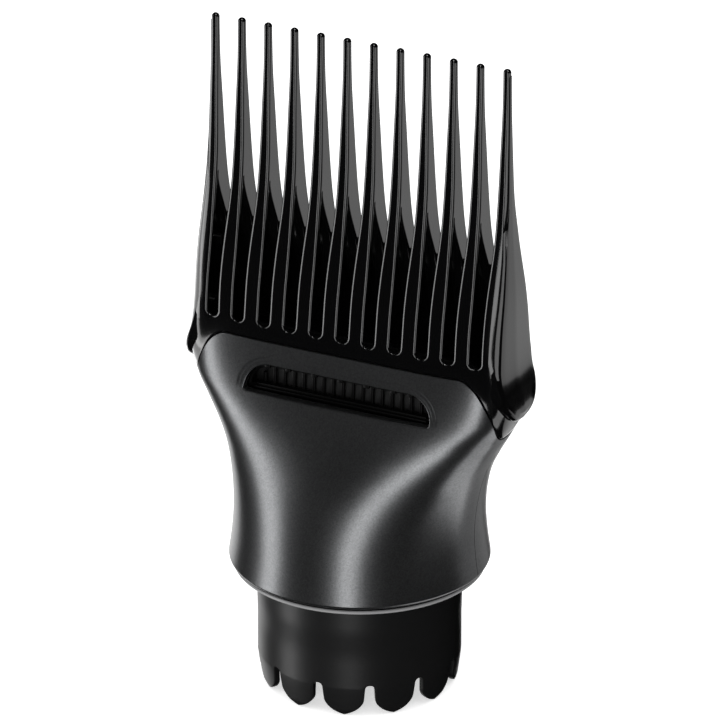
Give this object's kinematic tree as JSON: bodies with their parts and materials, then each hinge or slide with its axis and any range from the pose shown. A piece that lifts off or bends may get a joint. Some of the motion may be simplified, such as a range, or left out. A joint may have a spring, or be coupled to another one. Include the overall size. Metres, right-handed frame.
{
  "type": "hair dryer comb attachment",
  "caption": "Comb attachment for a hair dryer: long slotted teeth on a satin funnel body with a front vent, over a swivelling snap-in collar of flexible fingers.",
  "frame": {"origin": "on the collar's axis, in the plane of the flange's underside, where the attachment seats on the end of the dryer barrel", "axes": "+Z along the collar's axis towards the tooth tips; -Y out of the front face with the slots and the vent; +X along the row of teeth, to the right seen from the front"},
  "size_m": [0.0854, 0.0634, 0.1671],
  "materials": {
    "comb_gloss": "gloss moulded black",
    "plate_gloss": "semi-gloss moulded black",
    "body_satin": "satin dark metallic lacquer on moulded plastic",
    "vent_black": "matt moulded black",
    "duct_black": "matt moulded black",
    "collar_matte": "fine matt moulded black",
    "spring_steel": "spring steel"
  },
  "bodies": {
    "collar": {"collar_sleeve": "collar_matte", "retaining_ring": "spring_steel"},
    "comb": {"comb_head": "comb_gloss", "side_plate_left": "plate_gloss", "side_plate_right": "plate_gloss", "body_front": "body_satin", "body_rear": "body_satin", "vent_grille": "vent_black", "inner_duct": "duct_black"},
    "finger_01": {"finger_01": "collar_matte"},
    "finger_02": {"finger_02": "collar_matte"},
    "finger_03": {"finger_03": "collar_matte"},
    "finger_04": {"finger_04": "collar_matte"},
    "finger_05": {"finger_05": "collar_matte"},
    "finger_06": {"finger_06": "collar_matte"},
    "finger_07": {"finger_07": "collar_matte"},
    "finger_08": {"finger_08": "collar_matte"},
    "finger_09": {"finger_09": "collar_matte"},
    "finger_10": {"finger_10": "collar_matte"},
    "finger_11": {"finger_11": "collar_matte"},
    "finger_12": {"finger_12": "collar_matte"}
  },
  "joints": [
    {"name": "head_swivel", "type": "hinge", "parent": "collar", "child": "comb", "pos_m": [0, 0, 0.0016], "axis": [0, 0, 1], "continuous": true},
    {"name": "finger_01_flex", "type": "hinge", "parent": "collar", "child": "finger_01", "pos_m": [0.00702, -0.02295, -0.0234], "axis": [0.9563, 0.2924, 0], "range_deg": [-1.5, 6], "stiffness_Nm_per_rad": 0.35},
    {"name": "finger_02_flex", "type": "hinge", "parent": "collar", "child": "finger_02", "pos_m": [0.01755, -0.01637, -0.0234], "axis": [0.682, 0.7314, 0], "range_deg": [-1.5, 6], "stiffness_Nm_per_rad": 0.35},
    {"name": "finger_03_flex", "type": "hinge", "parent": "collar", "child": "finger_03", "pos_m": [0.02338, -0.0054, -0.0234], "axis": [0.225, 0.9744, 0], "range_deg": [-1.5, 6], "stiffness_Nm_per_rad": 0.35},
    {"name": "finger_04_flex", "type": "hinge", "parent": "collar", "child": "finger_04", "pos_m": [0.02295, 0.00702, -0.0234], "axis": [-0.2924, 0.9563, 0], "range_deg": [-1.5, 6], "stiffness_Nm_per_rad": 0.35},
    {"name": "finger_05_flex", "type": "hinge", "parent": "collar", "child": "finger_05", "pos_m": [0.01637, 0.01755, -0.0234], "axis": [-0.7314, 0.682, 0], "range_deg": [-1.5, 6], "stiffness_Nm_per_rad": 0.35},
    {"name": "finger_06_flex", "type": "hinge", "parent": "collar", "child": "finger_06", "pos_m": [0.0054, 0.02338, -0.0234], "axis": [-0.9744, 0.225, 0], "range_deg": [-1.5, 6], "stiffness_Nm_per_rad": 0.35},
    {"name": "finger_07_flex", "type": "hinge", "parent": "collar", "child": "finger_07", "pos_m": [-0.00702, 0.02295, -0.0234], "axis": [-0.9563, -0.2924, 0], "range_deg": [-1.5, 6], "stiffness_Nm_per_rad": 0.35},
    {"name": "finger_08_flex", "type": "hinge", "parent": "collar", "child": "finger_08", "pos_m": [-0.01755, 0.01637, -0.0234], "axis": [-0.682, -0.7314, 0], "range_deg": [-1.5, 6], "stiffness_Nm_per_rad": 0.35},
    {"name": "finger_09_flex", "type": "hinge", "parent": "collar", "child": "finger_09", "pos_m": [-0.02338, 0.0054, -0.0234], "axis": [-0.225, -0.9744, 0], "range_deg": [-1.5, 6], "stiffness_Nm_per_rad": 0.35},
    {"name": "finger_10_flex", "type": "hinge", "parent": "collar", "child": "finger_10", "pos_m": [-0.02295, -0.00702, -0.0234], "axis": [0.2924, -0.9563, 0], "range_deg": [-1.5, 6], "stiffness_Nm_per_rad": 0.35},
    {"name": "finger_11_flex", "type": "hinge", "parent": "collar", "child": "finger_11", "pos_m": [-0.01637, -0.01755, -0.0234], "axis": [0.7314, -0.682, 0], "range_deg": [-1.5, 6], "stiffness_Nm_per_rad": 0.35},
    {"name": "finger_12_flex", "type": "hinge", "parent": "collar", "child": "finger_12", "pos_m": [-0.0054, -0.02338, -0.0234], "axis": [0.9744, -0.225, 0], "range_deg": [-1.5, 6], "stiffness_Nm_per_rad": 0.35}
  ]
}
